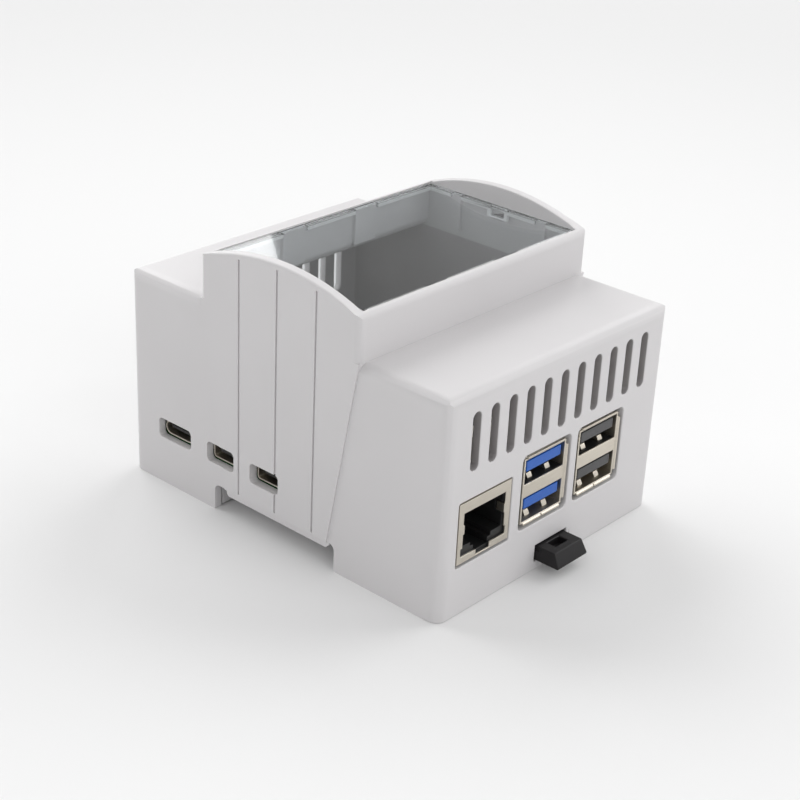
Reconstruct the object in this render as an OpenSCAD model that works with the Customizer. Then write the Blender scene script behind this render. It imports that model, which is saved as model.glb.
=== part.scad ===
// Rail-mounted enclosure for a credit-card-size computer board.
// X runs across the rail, towards the end with the network jack and the rail latch.
// Y runs along the rail, and the small sockets face -Y. Z points away from the rail.
// The origin is the middle of the face that rests on the rail.

/* [Hood] */
// Length over the two end faces
body_len = 90; // [88:0.5:110]
// Width over the two plain side faces
body_w = 70.4; // [69:0.1:90]
// Height of the shoulders above the rail
shoulder_h = 43.4; // [40:0.1:48]
// Height of the nose rim above the rail
nose_h = 53.3; // [52:0.1:60]
// Height of the arched end walls at their middle
arch_h = 57.2; // [56:0.1:64]
// Width of the nose across the rail
nose_w = 44.6; // [42:0.1:50]
// Depth of the feet below the face that rests on the rail
foot_drop = 4.6; // [4.2:0.1:6]
// Thickness of the side and end walls
wall = 2; // [1.6:0.1:2.6]
// Thickness of the nose's two long walls
nose_wall = 1.6; // [1.2:0.1:2]
// Thickness of the shoulders
ceiling_t = 1.9; // [1.4:0.1:2.6]
// Radius of the hood's outer edges
edge_r = 2.5; // [1:0.1:3]
// Radius of the nose's upright and long edges
nose_r = 1.5; // [0.8:0.1:2]
// Radius where the nose's inside meets the shoulders
inner_r = 2.5; // [1:0.1:3]
// How far the nose and the slanted panels stand proud of the plain sides
panel_proud = 0.3; // [0.2:0.05:0.6]
// Half of a slanted panel's width at its foot
panel_foot = 15; // [12:0.5:18]
// Gap between a piece and the wall or rib that it stands beside
fit_gap = 0.2; // [0.1:0.05:0.3]

/* [Vents and grooves] */
// Number of vent slots in each end face
vent_count = 11; // [5:1:11]
// Distance between vent slots
vent_pitch = 5.41; // [4.8:0.01:5.6]
// Width of a vent slot
vent_w = 2.4; // [2:0.1:3]
// Height of the lower end of the vent slots
vent_low = 26.6; // [25:0.1:29]
// Length of a vent slot
vent_len = 12.4; // [8:0.1:13]
// Height of the lower end of the longer vent slots in the far end face
far_vent_low = 20.2; // [19:0.1:29]
// Distance between the three grooves in each side
groove_pitch = 10.8; // [9:0.1:12]
// Width of a groove
groove_w = 0.5; // [0.4:0.05:0.8]
// Depth of a groove
groove_depth = 0.4; // [0.3:0.05:0.6]

/* [Rail and latch] */
// Width of the mounting rail
rail_w = 35; // [35:35]
// Thickness of the rail's edges
rail_t = 1; // [1:0.1:1.2]
// Free width that the feet leave beside the rail, both sides together
rail_play = 0.4; // [0.2:0.1:0.6]
// Distance of the recess's middle from the body's middle
rail_shift = -0.7; // [-1.5:0.1:1.5]
// How far the fixed hooks reach under the rail
hook_reach = 1.8; // [1.2:0.1:2.2]
// Thickness of the fixed hooks
hook_t = 1.5; // [1.2:0.1:2]
// Length of each fixed hook
hook_len = 14; // [8:1:18]
// Distance of each fixed hook from the middle
hook_mid = 19; // [15:0.5:22]
// Width of the latch
latch_w = 10; // [8:0.5:12]
// Height of the latch where it leaves the hood
latch_h = 3.2; // [2.8:0.1:3.4]
// Height of the latch's bar inside its channel
latch_bar_h = 2.4; // [2:0.1:2.6]
// How far the latch reaches out of the end face
latch_out = 5.9; // [4:0.1:8]
// How far the latch reaches under the rail
latch_reach = 1.5; // [1:0.1:2]
// How far the latch pulls out
latch_travel = 4; // [3:0.5:4.5]
// Gap above and below the latch in its channel
latch_gap = 0.3; // [0.2:0.05:0.4]

/* [Base plate] */
// Thickness of the floor and of the rail seat under it
base_t = 1.5; // [1.2:0.1:1.8]
// Thickness of the walls and ribs under the floor
rib_t = 1.6; // [1.2:0.1:2]
// Height of the board's posts above the floor
post_h = 2.5; // [2:0.1:3.5]
// Diameter of the board's posts
post_d = 6; // [5:0.1:6.4]
// How far the base stays clear of the plane of the feet
base_lift = 0.4; // [0.3:0.1:0.8]

/* [Cover] */
// Thickness of the clear cover
cover_t = 1.5; // [1.2:0.1:2]
// How far the cover lies below the nose rim
cover_sink = 0.1; // [0:0.05:0.4]
// Height of the skirt under the cover
skirt_h = 1.1; // [0.8:0.1:2]
// Thickness of the skirt
skirt_t = 1; // [0.8:0.1:1.4]
// Width of each snap tab
tab_w = 5.8; // [4:0.1:8]
// Height of each snap tab under the cover
tab_h = 2.6; // [2:0.1:4]
// Distance of the pads that carry the cover from the middle of the long sides
pad_mid = 11; // [9:0.5:14]
// Width of the pads on the long sides
pad_w = 6.6; // [4:0.1:8]
// Width of the pads on the arched walls
end_pad_w = 2.4; // [2:0.1:4]
// Distance of the pads on the arched walls from the middle
end_pad_mid = 12; // [9:0.5:14]
// How far the pads stand in from the walls
pad_t = 0.8; // [0.6:0.1:1.2]

/* [Board] */
// Length of the board
board_len = 85; // [85:85]
// Width of the board
board_w = 56; // [56:56]
// Thickness of the board
board_t = 1.5; // [1.2:0.1:1.6]
// Gap between the board and the wall with the network jack
board_end_gap = 0.45; // [0.3:0.05:0.8]
// Gap between the board and the wall with the small sockets
board_side_gap = 0.35; // [0.2:0.05:0.6]
// Distance of the mounting holes from the board's edges
hole_inset = 3.5; // [3.5:3.5]
// Distance between the mounting holes along the board
hole_span_x = 58; // [58:58]
// Distance between the mounting holes across the board
hole_span_y = 49; // [49:49]
// Diameter of the mounting holes
hole_d = 2.7; // [2.5:0.1:3]
// Diameter of the screws' threaded ends
screw_d = 2.1; // [1.8:0.1:2.2]
// Diameter of the screws' heads
screw_head_d = 4.6; // [4:0.1:5.4]
// Height of the screws' heads
screw_head_h = 1.7; // [1.4:0.1:2]
// Length of the screws below their heads
screw_len = 4.6; // [4:0.1:4.8]

/* [Jacks on the end face] */
// Middle of the network jack from the board's edge
jack_y = 10.2; // [9.8:0.1:10.6]
// Width of the network jack
jack_w = 15.6; // [15:0.1:16]
// Height of the network jack
jack_h = 13.4; // [13:0.1:14]
// Depth of the network jack
jack_d = 20; // [16:0.5:21]
// How far the network jack overhangs the board
jack_over = 2.4; // [1.5:0.1:2.6]
// Middle of the blue stack from the board's edge
blue_y = 29.1; // [28.8:0.1:29.4]
// Middle of the black stack from the board's edge
black_y = 47; // [46.7:0.1:47.3]
// Width of a stack behind its flared lips
stack_w = 13.4; // [13:0.1:13.8]
// Height of a stack
stack_h = 14.8; // [14.4:0.1:15.4]
// Height of a stack's underside above the board
stack_lift = 0.9; // [0.6:0.1:1.2]
// Depth of a stack
stack_d = 17; // [14:0.5:18]
// How far a stack overhangs the board
stack_over = 2.25; // [1:0.05:2.4]
// Thickness of the connectors' sheet metal
sheet_t = 0.4; // [0.3:0.05:0.5]
// How far a stack's lips flare outwards
lip = 0.5; // [0.4:0.05:0.9]
// Height of the band between a stack's two sockets
band_h = 3; // [2.8:0.1:3.6]
// Gap between the network jack and its cut-out in the hood
cutout_gap = 0.3; // [0.2:0.05:0.5]
// Gap under the network jack in its cut-out
cutout_low = 0.7; // [0.3:0.05:1]
// Gap between a stack's lips and their cut-out
stack_gap = 0.65; // [0.3:0.05:0.8]

/* [Small sockets on the side] */
// Middle of the power socket from the board's edge
power_x = 11.2; // [11:0.1:11.6]
// Middle of each video socket from the board's edge
video_x = [25.8, 39.2];
// Width of the power socket
power_w = 8.9; // [8.5:0.1:9.2]
// Height of the power socket
power_h = 3.2; // [3:0.1:3.4]
// Width of a video socket
video_w = 7.1; // [6.6:0.1:7.4]
// Height of a video socket
video_h = 3.3; // [3:0.1:3.5]
// Depth of the small sockets
small_d = 7.3; // [6:0.1:8]
// How far the small sockets overhang the board
small_over = 0.9; // [0.6:0.1:1.2]
// Thickness of the small sockets' shells
small_t = 0.3; // [0.2:0.05:0.4]
// Gap between a small socket and its cut-out in the hood
small_gap = 0.65; // [0.5:0.05:0.8]

/* [Hidden] */
$fn = 64;

// Colours
grey_abs = [0.78, 0.77, 0.77];
clear_plastic = [0.85, 0.88, 0.9, 0.35];
black_plastic = [0.09, 0.085, 0.09];
tin = [0.8, 0.79, 0.75];
gold = [0.83, 0.66, 0.3];
blue_plastic = [0.14, 0.36, 0.72];
dark_plastic = [0.2, 0.2, 0.21];
board_green = [0.06, 0.3, 0.16];
chip_black = [0.12, 0.12, 0.13];

// Hood
half_len = body_len / 2;
half_w = body_w / 2;
nose_d = body_w + 2 * panel_proud;
ceiling_z = shoulder_h - ceiling_t;
nose_in = nose_w / 2 - nose_wall;
side_in = half_w - wall;
end_in = half_len - wall;
arch_half = nose_w / 2 - nose_r;
arch_rise = arch_h - nose_h;
arch_rad = (arch_half * arch_half + arch_rise * arch_rise) / (2 * arch_rise);
groove_inset = 1.2;
nub_out = 0.7;
nub_len = 10;
nub_h = 1.2;
nub_mid = 19;
nub_z = -foot_drop / 2;

// Rail recess, between the inner faces of the two feet
recess_w = rail_w + rail_play;
recess_low = rail_shift - recess_w / 2;
recess_high = rail_shift + recess_w / 2;
recess_r = 1.4;
seat_inset = 3.6;
seat_bevel = 1;

// Base plate
floor_z = 2 * base_t;
base_half_len = end_in - fit_gap;
base_half_w = side_in - fit_gap;
base_bottom = base_lift - foot_drop;

// Latch and its channel
latch_top = base_t - latch_gap - 0.3;
latch_bottom = latch_top - latch_h;
latch_bar_top = latch_bottom + latch_bar_h;
latch_tip_top = -rail_t - 0.1;
latch_tip = recess_high - latch_reach;
latch_side_gap = fit_gap;
channel_half = latch_w / 2 + latch_side_gap;
channel_lip = 1.5;
stop_d = 3;
stop_x = recess_high + 9;
slot_gap = 0.2;

// Cover
cover_top = nose_h - cover_sink;
cover_low = cover_top - cover_t;
cover_half_x = nose_in - fit_gap;
cover_half_y = side_in - fit_gap;
pad_low = shoulder_h - 0.2;

// Board
board_z = floor_z + post_h;
board_top = board_z + board_t;
board_x1 = end_in - board_end_gap;
board_x0 = board_x1 - board_len;
board_y0 = -side_in + board_side_gap;
hole_x = [board_x0 + hole_inset, board_x0 + hole_inset + hole_span_x];
hole_y = [board_y0 + hole_inset, board_y0 + hole_inset + hole_span_y];
holes = [for (x = hole_x, y = hole_y) [x, y]];

// Jacks
jack_face = board_x1 + jack_over;
stack_face = board_x1 + stack_over;
jack_mid = board_y0 + jack_y;
stack_mid = [board_y0 + blue_y, board_y0 + black_y];
jack_mid_z = board_top + jack_h / 2;
stack_low = board_top + stack_lift;
stack_mid_z = stack_low + stack_h / 2;
jack_top_frame = 2.4;
jack_side_frame = 1.5;
jack_low_frame = 1.5;
jack_foot_h = 3.3;
clip_w = 4.2;
clip_step_w = 6.2;
jack_tab_y = jack_w / 2 - jack_side_frame - 0.1;
jack_tab_z = board_top + 0.55 * jack_h;
lip_up = lip - 0.05;
lip_side_len = stack_h - 2.4;
lip_flat_len = stack_w - 1.6;
flap_gap = 0.3;
band_set = 0.3;
socket_depth = 9.5;
socket_w = stack_w - 2 * sheet_t;
socket_h = (stack_h - 2 * sheet_t - band_h) / 2;
socket_z = [stack_low + sheet_t + socket_h / 2, stack_low + stack_h - sheet_t - socket_h / 2];
tongue_w = 11.1;
tongue_t = 2.3;
tongue_len = 9.3;
tongue_top = 0.6;

// Small sockets
small_face = board_y0 - small_over;
power_mid = board_x0 + power_x;
video_mid = [for (x = video_x) board_x0 + x];
power_mid_z = board_top + power_h / 2;
video_mid_z = board_top + video_h / 2;

module along_y(length) {
    rotate([90, 0, 0]) linear_extrude(length, center = true) children();
}

module along_x(length) {
    rotate([90, 0, 90]) linear_extrude(length, center = true) children();
}

module rounded_rect(w, h, r) {
    square([w - 2 * r, h], center = true);
    square([w, h - 2 * r], center = true);
    for (sx = [-1, 1], sy = [-1, 1])
        translate([sx * (w / 2 - r), sy * (h / 2 - r)]) circle(r);
}

// A plate outline with its two upper corners rounded
module top_rounded(w, low, high, r) {
    translate([-w / 2, low]) square([w, high - low - r]);
    translate([-w / 2 + r, low]) square([w - 2 * r, high - low]);
    for (side = [-1, 1])
        translate([side * (w / 2 - r), high - r]) circle(r);
}

module block(x, y, z) {
    translate([x[0], y[0], z[0]]) cube([x[1] - x[0], y[1] - y[0], z[1] - z[0]]);
}

// Hood: outer form

module shoulders() {
    intersection() {
        along_y(body_w + 2) top_rounded(body_len, -foot_drop, shoulder_h, edge_r);
        along_x(body_len + 2) top_rounded(body_w, -foot_drop, shoulder_h, edge_r);
        translate([0, 0, -foot_drop - 1])
            linear_extrude(shoulder_h + foot_drop + 2) rounded_rect(body_len, body_w, edge_r);
    }
}

module nose_outline() {
    top_rounded(nose_w, shoulder_h, nose_h, nose_r);
    intersection() {
        translate([0, arch_h - arch_rad]) circle(arch_rad, $fn = 128);
        translate([-arch_half, nose_h - nose_r]) square([2 * arch_half, arch_rise + nose_r]);
    }
}

module nose() {
    intersection() {
        along_y(nose_d + 2) nose_outline();
        translate([0, 0, shoulder_h - 1])
            linear_extrude(arch_h - shoulder_h + 2) rounded_rect(nose_w, nose_d, nose_r);
    }
}

module slanted_panel() {
    along_y(nose_d) polygon([
        [-panel_foot, base_t], [panel_foot, base_t],
        [nose_w / 2, shoulder_h], [-nose_w / 2, shoulder_h]
    ]);
}

// Hood: what is cut away

module inside() {
    translate([0, 0, -foot_drop - 1])
        linear_extrude(ceiling_z + foot_drop + 1) square([2 * end_in, 2 * side_in], center = true);
    block([-nose_in, nose_in], [-side_in, side_in], [ceiling_z - 1, nose_h]);
    block([-nose_w, nose_w], [-side_in, side_in], [nose_h, arch_h + 1]);
    for (side = [-1, 1])
        along_y(2 * side_in) difference() {
            translate([side * (nose_in + inner_r / 2), ceiling_z + inner_r / 2 - 0.5])
                square([inner_r, inner_r + 1], center = true);
            translate([side * (nose_in + inner_r), ceiling_z + inner_r]) circle(inner_r);
            translate([side * (nose_in + inner_r / 2), ceiling_z + inner_r + 1])
                square([inner_r + 1, 2], center = true);
        }
}

// Room for the rail between the feet, through both side walls
module rail_gap() {
    along_y(nose_d + 2) {
        translate([recess_low, -foot_drop - 1])
            square([recess_w, foot_drop + 1 + base_t - recess_r]);
        translate([recess_low + recess_r, -foot_drop - 1])
            square([recess_w - 2 * recess_r, foot_drop + 1 + base_t]);
        for (x = [recess_low + recess_r, recess_high - recess_r])
            translate([x, base_t - recess_r]) circle(recess_r);
    }
}

module vents() {
    first = -(vent_count - 1) * vent_pitch / 2;
    high = vent_low + vent_len;
    for (side = [-1, 1], i = [0 : vent_count - 1]) {
        low = side > 0 ? vent_low : far_vent_low;
        translate([side * (half_len - wall / 2), first + i * vent_pitch, (low + high) / 2])
            along_x(wall + 2) rounded_rect(vent_w, high - low, vent_w / 2 - 0.01);
    }
}

module grooves() {
    for (side = [-1, 1], i = [-1 : 1]) {
        x = i * groove_pitch;
        top = arch_h - arch_rad + sqrt(arch_rad * arch_rad - x * x) - groove_inset;
        block([x - groove_w / 2, x + groove_w / 2],
              side > 0 ? [nose_d / 2 - groove_depth, nose_d / 2 + 1]
                       : [-nose_d / 2 - 1, -nose_d / 2 + groove_depth],
              [base_t + 0.5, top]);
    }
}

module jack_cutouts() {
    translate([half_len - wall / 2, jack_mid, jack_mid_z + (cutout_gap - cutout_low) / 2])
        along_x(wall + 2) rounded_rect(jack_w + 2 * cutout_gap,
                                       jack_h + cutout_gap + cutout_low, 0.5);
    for (y = stack_mid)
        translate([half_len - wall / 2, y, stack_mid_z])
            along_x(wall + 2) rounded_rect(stack_w + 2 * lip + 2 * stack_gap,
                                           stack_h + 2 * lip_up + 2 * stack_gap, 1.3);
}

module small_cutouts() {
    translate([power_mid, -half_w + wall / 2, power_mid_z])
        along_y(wall + 2) rounded_rect(power_w + 2 * small_gap, power_h + 2 * small_gap, 1);
    for (x = video_mid)
        translate([x, -half_w + wall / 2, video_mid_z])
            along_y(wall + 2) rounded_rect(video_w + 2 * small_gap, video_h + 2 * small_gap, 1);
}

module latch_window() {
    block([end_in - 1, half_len + 1], [-channel_half, channel_half],
          [latch_bottom - latch_gap, latch_top + latch_gap]);
}

// Pads inside the nose that carry the cover, and a rib in each of its corners
module cover_pads() {
    for (side = [-1, 1], place = [-pad_mid, pad_mid])
        translate([side * (nose_in - pad_t / 2), place, (pad_low + cover_low) / 2])
            cube([pad_t, pad_w, cover_low - pad_low], center = true);
    for (side = [-1, 1], place = [-end_pad_mid, end_pad_mid])
        translate([place, side * (side_in - pad_t / 2), (pad_low + cover_low) / 2])
            cube([end_pad_w, pad_t, cover_low - pad_low], center = true);
}

// Nubs that snap into the feet of the base plate
module snap_nubs(grow) {
    for (side = [-1, 1], place = [-nub_mid, nub_mid])
        translate([side * (end_in - nub_out / 2), place, nub_z])
            cube([nub_out + 2 * grow, nub_len + 2 * grow, nub_h + 2 * grow], center = true);
}

module hood() {
    color(grey_abs) {
        difference() {
            union() {
                shoulders();
                nose();
                slanted_panel();
            }
            inside();
            rail_gap();
            vents();
            grooves();
            jack_cutouts();
            small_cutouts();
            latch_window();
        }
        cover_pads();
        snap_nubs(0);
    }
}

// Base plate: floor, rail seat, feet, fixed hooks and the board's posts

module foot_frame(x, y) {
    difference() {
        block(x, y, [base_bottom, base_t]);
        block([x[0] + rib_t, x[1] - rib_t], [y[0] + rib_t, y[1] - rib_t], [base_bottom - 1, base_t]);
    }
    middle = (y[0] + y[1]) / 2;
    block(x, [middle - rib_t / 2, middle + rib_t / 2], [base_bottom, base_t]);
}

module rail_seat() {
    along_y(body_w) polygon([
        [recess_low + seat_inset, base_t], [recess_low + seat_inset, 0.6],
        [recess_low + seat_inset + 0.6, 0], [recess_high - recess_r - seat_bevel, 0],
        [recess_high - recess_r, base_t - 0.5], [recess_high - recess_r, base_t]
    ]);
}

module fixed_hooks() {
    hook_top = -rail_t - 0.3;
    for (side = [-1, 1])
        translate([0, side * hook_mid, 0])
            along_y(hook_len) polygon([
                [recess_low - rib_t / 2, hook_top], [recess_low + hook_reach, hook_top],
                [recess_low + hook_reach, hook_top - 0.5],
                [recess_low, hook_top - hook_t], [recess_low - rib_t / 2, hook_top - hook_t]
            ]);
}

module base_plate() {
    color(grey_abs) difference() {
        union() {
            translate([0, 0, base_t]) linear_extrude(base_t)
                square([2 * base_half_len, 2 * base_half_w], center = true);
            rail_seat();
            fixed_hooks();
            foot_frame([-base_half_len, recess_low], [-base_half_w, 0]);
            foot_frame([-base_half_len, recess_low], [0, base_half_w]);
            foot_frame([recess_high, base_half_len], [-base_half_w, -channel_half]);
            foot_frame([recess_high, base_half_len], [channel_half, base_half_w]);
            for (side = [-1, 1])
                translate([(recess_high + base_half_len) / 2, side * (channel_half - channel_lip / 2),
                           (base_bottom + latch_bottom - latch_gap) / 2])
                    cube([base_half_len - recess_high, channel_lip,
                          latch_bottom - latch_gap - base_bottom], center = true);
            translate([stop_x, 0, latch_bottom + 0.4])
                cylinder(d = stop_d, h = base_t - latch_bottom - 0.4);
            for (p = holes)
                translate([p[0], p[1], floor_z]) cylinder(d = post_d, h = post_h);
        }
        snap_nubs(fit_gap);
        for (p = holes)
            translate([p[0], p[1], board_top - screw_len - 0.3])
                cylinder(d = screw_d + 0.1, h = screw_len + 1);
    }
}

// Latch: a bar in the channel, its tip under the rail, and the finger tab outside

module latch_bar() {
    difference() {
        along_y(latch_w) polygon([
            [latch_tip, latch_tip_top], [latch_tip, latch_tip_top - 0.4],
            [latch_tip + 1, latch_bottom], [half_len + 1, latch_bottom],
            [half_len + 1, latch_bar_top], [recess_high + 1.6, latch_bar_top],
            [recess_high + 0.6, latch_tip_top]
        ]);
        block([stop_x - stop_d / 2 - slot_gap - latch_travel, stop_x + stop_d / 2 + slot_gap],
              [-stop_d / 2 - slot_gap, stop_d / 2 + slot_gap], [latch_bottom - 1, latch_top + 1]);
        for (side = [-1, 1])
            translate([stop_x + 9.5, side * (latch_w / 2 - 1.7), (latch_bottom + latch_top) / 2])
                cube([9, 0.8, latch_h + 2], center = true);
    }
}

module latch_tab() {
    intersection() {
        along_y(latch_w + 2) polygon([
            [end_in - 2, latch_bottom], [half_len + latch_out, latch_bottom],
            [half_len + latch_out, latch_bottom + 0.5], [half_len + latch_out - 1.4, latch_top],
            [end_in - 2, latch_top]
        ]);
        along_x(2 * body_len) polygon([
            [-latch_w / 2, latch_bottom], [latch_w / 2, latch_bottom],
            [latch_w / 2 - 0.4, latch_top], [-latch_w / 2 + 0.4, latch_top]
        ]);
    }
}

module rail_latch() {
    color(black_plastic) difference() {
        union() {
            latch_bar();
            latch_tab();
        }
        block([half_len + 0.6, half_len + 2.8], [-2, 2], [latch_top - 1.6, latch_top + 1]);
    }
}

// Clear cover: plate, skirt with gaps at the pads, and a snap tab at each arched wall

module clear_cover() {
    color(clear_plastic) difference() {
        union() {
            translate([0, 0, cover_low])
                linear_extrude(cover_t) rounded_rect(2 * cover_half_x, 2 * cover_half_y, 1.5);
            translate([0, 0, cover_low - skirt_h]) linear_extrude(skirt_h) difference() {
                rounded_rect(2 * cover_half_x, 2 * cover_half_y, 1.5);
                rounded_rect(2 * (cover_half_x - skirt_t), 2 * (cover_half_y - skirt_t), 0.6);
            }
            for (side = [-1, 1])
                translate([0, side * (cover_half_y - skirt_t / 2), cover_low - tab_h / 2])
                    cube([tab_w, skirt_t, tab_h], center = true);
        }
        for (side = [-1, 1], place = [-pad_mid, pad_mid])
            translate([side * cover_half_x, place, cover_low - skirt_h])
                cube([4 * skirt_t, pad_w + 2 * fit_gap, 2 * skirt_h], center = true);
        for (side = [-1, 1], place = [-end_pad_mid, end_pad_mid])
            translate([place, side * cover_half_y, cover_low - skirt_h])
                cube([end_pad_w + 2 * fit_gap, 4 * skirt_t, 2 * skirt_h], center = true);
        for (side = [-1, 1])
            translate([0, side * cover_half_y, cover_low - tab_h / 2])
                cube([tab_w - 2, 4 * skirt_t, tab_h - 1.2], center = true);
    }
}

// Board and its screws

module board() {
    color(board_green) difference() {
        translate([board_x0 + board_len / 2, board_y0 + board_w / 2, board_z])
            linear_extrude(board_t) rounded_rect(board_len, board_w, 3);
        for (p = holes)
            translate([p[0], p[1], board_z - 1]) cylinder(d = hole_d, h = board_t + 2);
    }
}

module board_screw(p) {
    color(tin) translate([p[0], p[1], board_top]) difference() {
        union() {
            cylinder(d = screw_head_d, h = screw_head_h);
            translate([0, 0, -screw_len]) cylinder(d = screw_d, h = screw_len + 0.5);
        }
        for (turn = [0, 90])
            rotate(turn) translate([0, 0, screw_head_h])
                cube([screw_head_d * 0.6, 0.6, 1.8], center = true);
    }
}

// Network jack: sheet-metal shell with a front frame, insert with the plug cavity, contacts

module jack_opening(w_extra) {
    cavity_w = jack_w - 2 * jack_side_frame + w_extra;
    low = board_top + jack_low_frame;
    high = board_top + jack_h - jack_top_frame;
    translate([jack_mid - cavity_w / 2, low]) square([cavity_w, high - low]);
    translate([jack_mid - cavity_w / 2 - 0.5, low])
        square([cavity_w + 1, jack_foot_h - jack_low_frame]);
    translate([jack_mid - clip_w / 2, board_top + 0.35]) square([clip_w, jack_low_frame]);
}

module jack_shell() {
    inner_x = jack_face - jack_d + sheet_t;
    color(tin) {
        difference() {
            block([jack_face - jack_d, jack_face], [jack_mid - jack_w / 2, jack_mid + jack_w / 2],
                  [board_top, board_top + jack_h]);
            block([inner_x, jack_face - sheet_t],
                  [jack_mid - jack_w / 2 + sheet_t, jack_mid + jack_w / 2 - sheet_t],
                  [board_top - 1, board_top + jack_h - sheet_t]);
            translate([jack_face, 0, 0]) along_x(4 * sheet_t) jack_opening(0);
        }
        for (side = [-1, 1])
            translate([jack_face - 1, jack_mid + side * jack_tab_y, jack_tab_z])
                cube([2, 0.5, 2], center = true);
    }
}

module jack_insert() {
    x0 = jack_face - jack_d + sheet_t;
    x1 = jack_face - sheet_t;
    cavity_w = jack_w - 2 * jack_side_frame - 0.2;
    high = board_top + jack_h - jack_top_frame - 0.1;
    step_1 = board_top + 3.2;
    step_2 = board_top + 2.3;
    color(black_plastic) difference() {
        block([x0, x1], [jack_mid - jack_w / 2 + sheet_t, jack_mid + jack_w / 2 - sheet_t],
              [board_top, board_top + jack_h - sheet_t]);
        translate([x1, 0, 0]) along_x(2 * 12.5) {
            translate([jack_mid - cavity_w / 2, step_1]) square([cavity_w, high - step_1]);
            translate([jack_mid - clip_step_w / 2, step_2]) square([clip_step_w, high - step_2]);
            translate([jack_mid - clip_w / 2, board_top + 1]) square([clip_w, high - board_top - 1]);
        }
        translate([x1, 0, 0]) along_x(0.6) jack_opening(0.1);
        for (side = [-1, 1])
            translate([x1 - 0.5, jack_mid + side * jack_tab_y, jack_tab_z])
                cube([3, 1, 2.2], center = true);
    }
}

module jack_contacts() {
    contact_pitch = 1.02;
    top = board_top + jack_h - jack_top_frame - 0.1;
    color(gold) for (i = [0 : 7])
        translate([jack_face - 8, jack_mid + (i - 3.5) * contact_pitch, 0])
            along_y(0.4) polygon([[-4.4, top], [3, top], [3, top - 0.3], [-3.6, top - 2.4], [-4.4, top - 2.4]]);
}

// Socket stacks: shell with flared lips and a band, moulded core, tongues and contact springs

module lip_strip(length, out) {
    linear_extrude(length, center = true) polygon([
        [-1.2, 0], [-1.2, -sheet_t], [-0.5, -sheet_t], [0, out - sheet_t], [0, out], [-0.2, out]
    ]);
}

module stack_shell(y) {
    back = stack_face - stack_d;
    color(tin) {
        difference() {
            block([back, stack_face - band_set], [y - stack_w / 2, y + stack_w / 2],
                  [stack_low, stack_low + stack_h]);
            for (z = socket_z)
                block([back + sheet_t, stack_face + 1], [y - socket_w / 2, y + socket_w / 2],
                      [z - socket_h / 2, z + socket_h / 2]);
            block([back + sheet_t, stack_face - band_set - sheet_t],
                  [y - socket_w / 2, y + socket_w / 2],
                  [stack_mid_z - band_h / 2 - 0.01, stack_mid_z + band_h / 2 + 0.01]);
        }
        for (side = [-1, 1])
            translate([stack_face, y + side * stack_w / 2, stack_mid_z])
                mirror([0, side > 0 ? 0 : 1, 0]) lip_strip(lip_side_len, lip);
        translate([stack_face, y, stack_low + stack_h])
            rotate([90, 0, 0]) lip_strip(lip_flat_len, lip_up);
        for (side = [-1, 1])
            translate([stack_face, y + side * (lip_flat_len + flap_gap) / 4, stack_low])
                mirror([0, 0, 1]) rotate([90, 0, 0])
                    lip_strip((lip_flat_len - flap_gap) / 2, lip_up);
        for (z = socket_z, place = [-2.9, 2.9])
            translate([stack_face, y + place, z - socket_h / 2])
                along_y(1.5) polygon([[-4.6, 0], [-1.6, 0], [-1.6, 0.2], [-2.1, 1.1], [-2.7, 1.1]]);
    }
}

module stack_core(y) {
    back = stack_face - stack_d + sheet_t;
    front = stack_face - sheet_t - socket_depth;
    color(black_plastic) {
        block([back, front], [y - socket_w / 2, y + socket_w / 2],
              [stack_low + sheet_t, stack_low + stack_h - sheet_t]);
        block([back, front], [y - socket_w / 2, y + socket_w / 2], [board_top, stack_low]);
        block([front, stack_face - band_set - sheet_t], [y - socket_w / 2, y + socket_w / 2],
              [stack_mid_z - band_h / 2, stack_mid_z + band_h / 2]);
    }
}

module stack_tongues(y, tint) {
    root = stack_face - sheet_t - socket_depth;
    color(tint) for (z = socket_z)
        block([root, root + tongue_len], [y - tongue_w / 2, y + tongue_w / 2],
              [z + socket_h / 2 - tongue_top - tongue_t, z + socket_h / 2 - tongue_top]);
}

module stack_contacts(y) {
    root = stack_face - sheet_t - socket_depth;
    color(gold) for (z = socket_z, place = [-3.5, -1, 1, 3.5])
        block([root, root + tongue_len - 1], [y + place - 0.5, y + place + 0.5],
              [z + socket_h / 2 - tongue_top - 0.2 - tongue_t,
               z + socket_h / 2 - tongue_top - tongue_t]);
}

// Small sockets: a rounded metal tube with a tongue in it

module socket_shell(x, z, w, h, r) {
    color(tin) difference() {
        translate([x, small_face + small_d / 2, z])
            along_y(small_d) rounded_rect(w, h, r);
        translate([x, small_face + small_d / 2 - 1, z])
            along_y(small_d) rounded_rect(w - 2 * small_t, h - 2 * small_t, r - small_t);
    }
}

module socket_tongue(x, z, w, h, r, blade_w) {
    root = small_face + small_d - 1;
    color(black_plastic) {
        translate([x, root - 0.75, z])
            along_y(1.5) rounded_rect(w - 2 * small_t, h - 2 * small_t, r - small_t);
        block([x - blade_w / 2, x + blade_w / 2], [small_face + 0.8, root - 1.5], [z - 0.35, z + 0.35]);
    }
}

// Chips: centre from the board's corner, size and height
module chip(centre, size, height, lift = 0) {
    translate([board_x0 + centre[0], board_y0 + centre[1], board_top + lift + height / 2])
        cube([size[0], size[1], height], center = true);
}

processor_at = [33, 30.5];
processor_size = 17;
processor_t = 0.7;
header_at = [32.5, 52.5];
pin_pitch = 2.54;
ribbon_at = [[47.6, 10.5], [54.6, 10.5], [5.4, 31]];
ribbon_size = [3, 13.5];
ribbon_h = 1.6;

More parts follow.
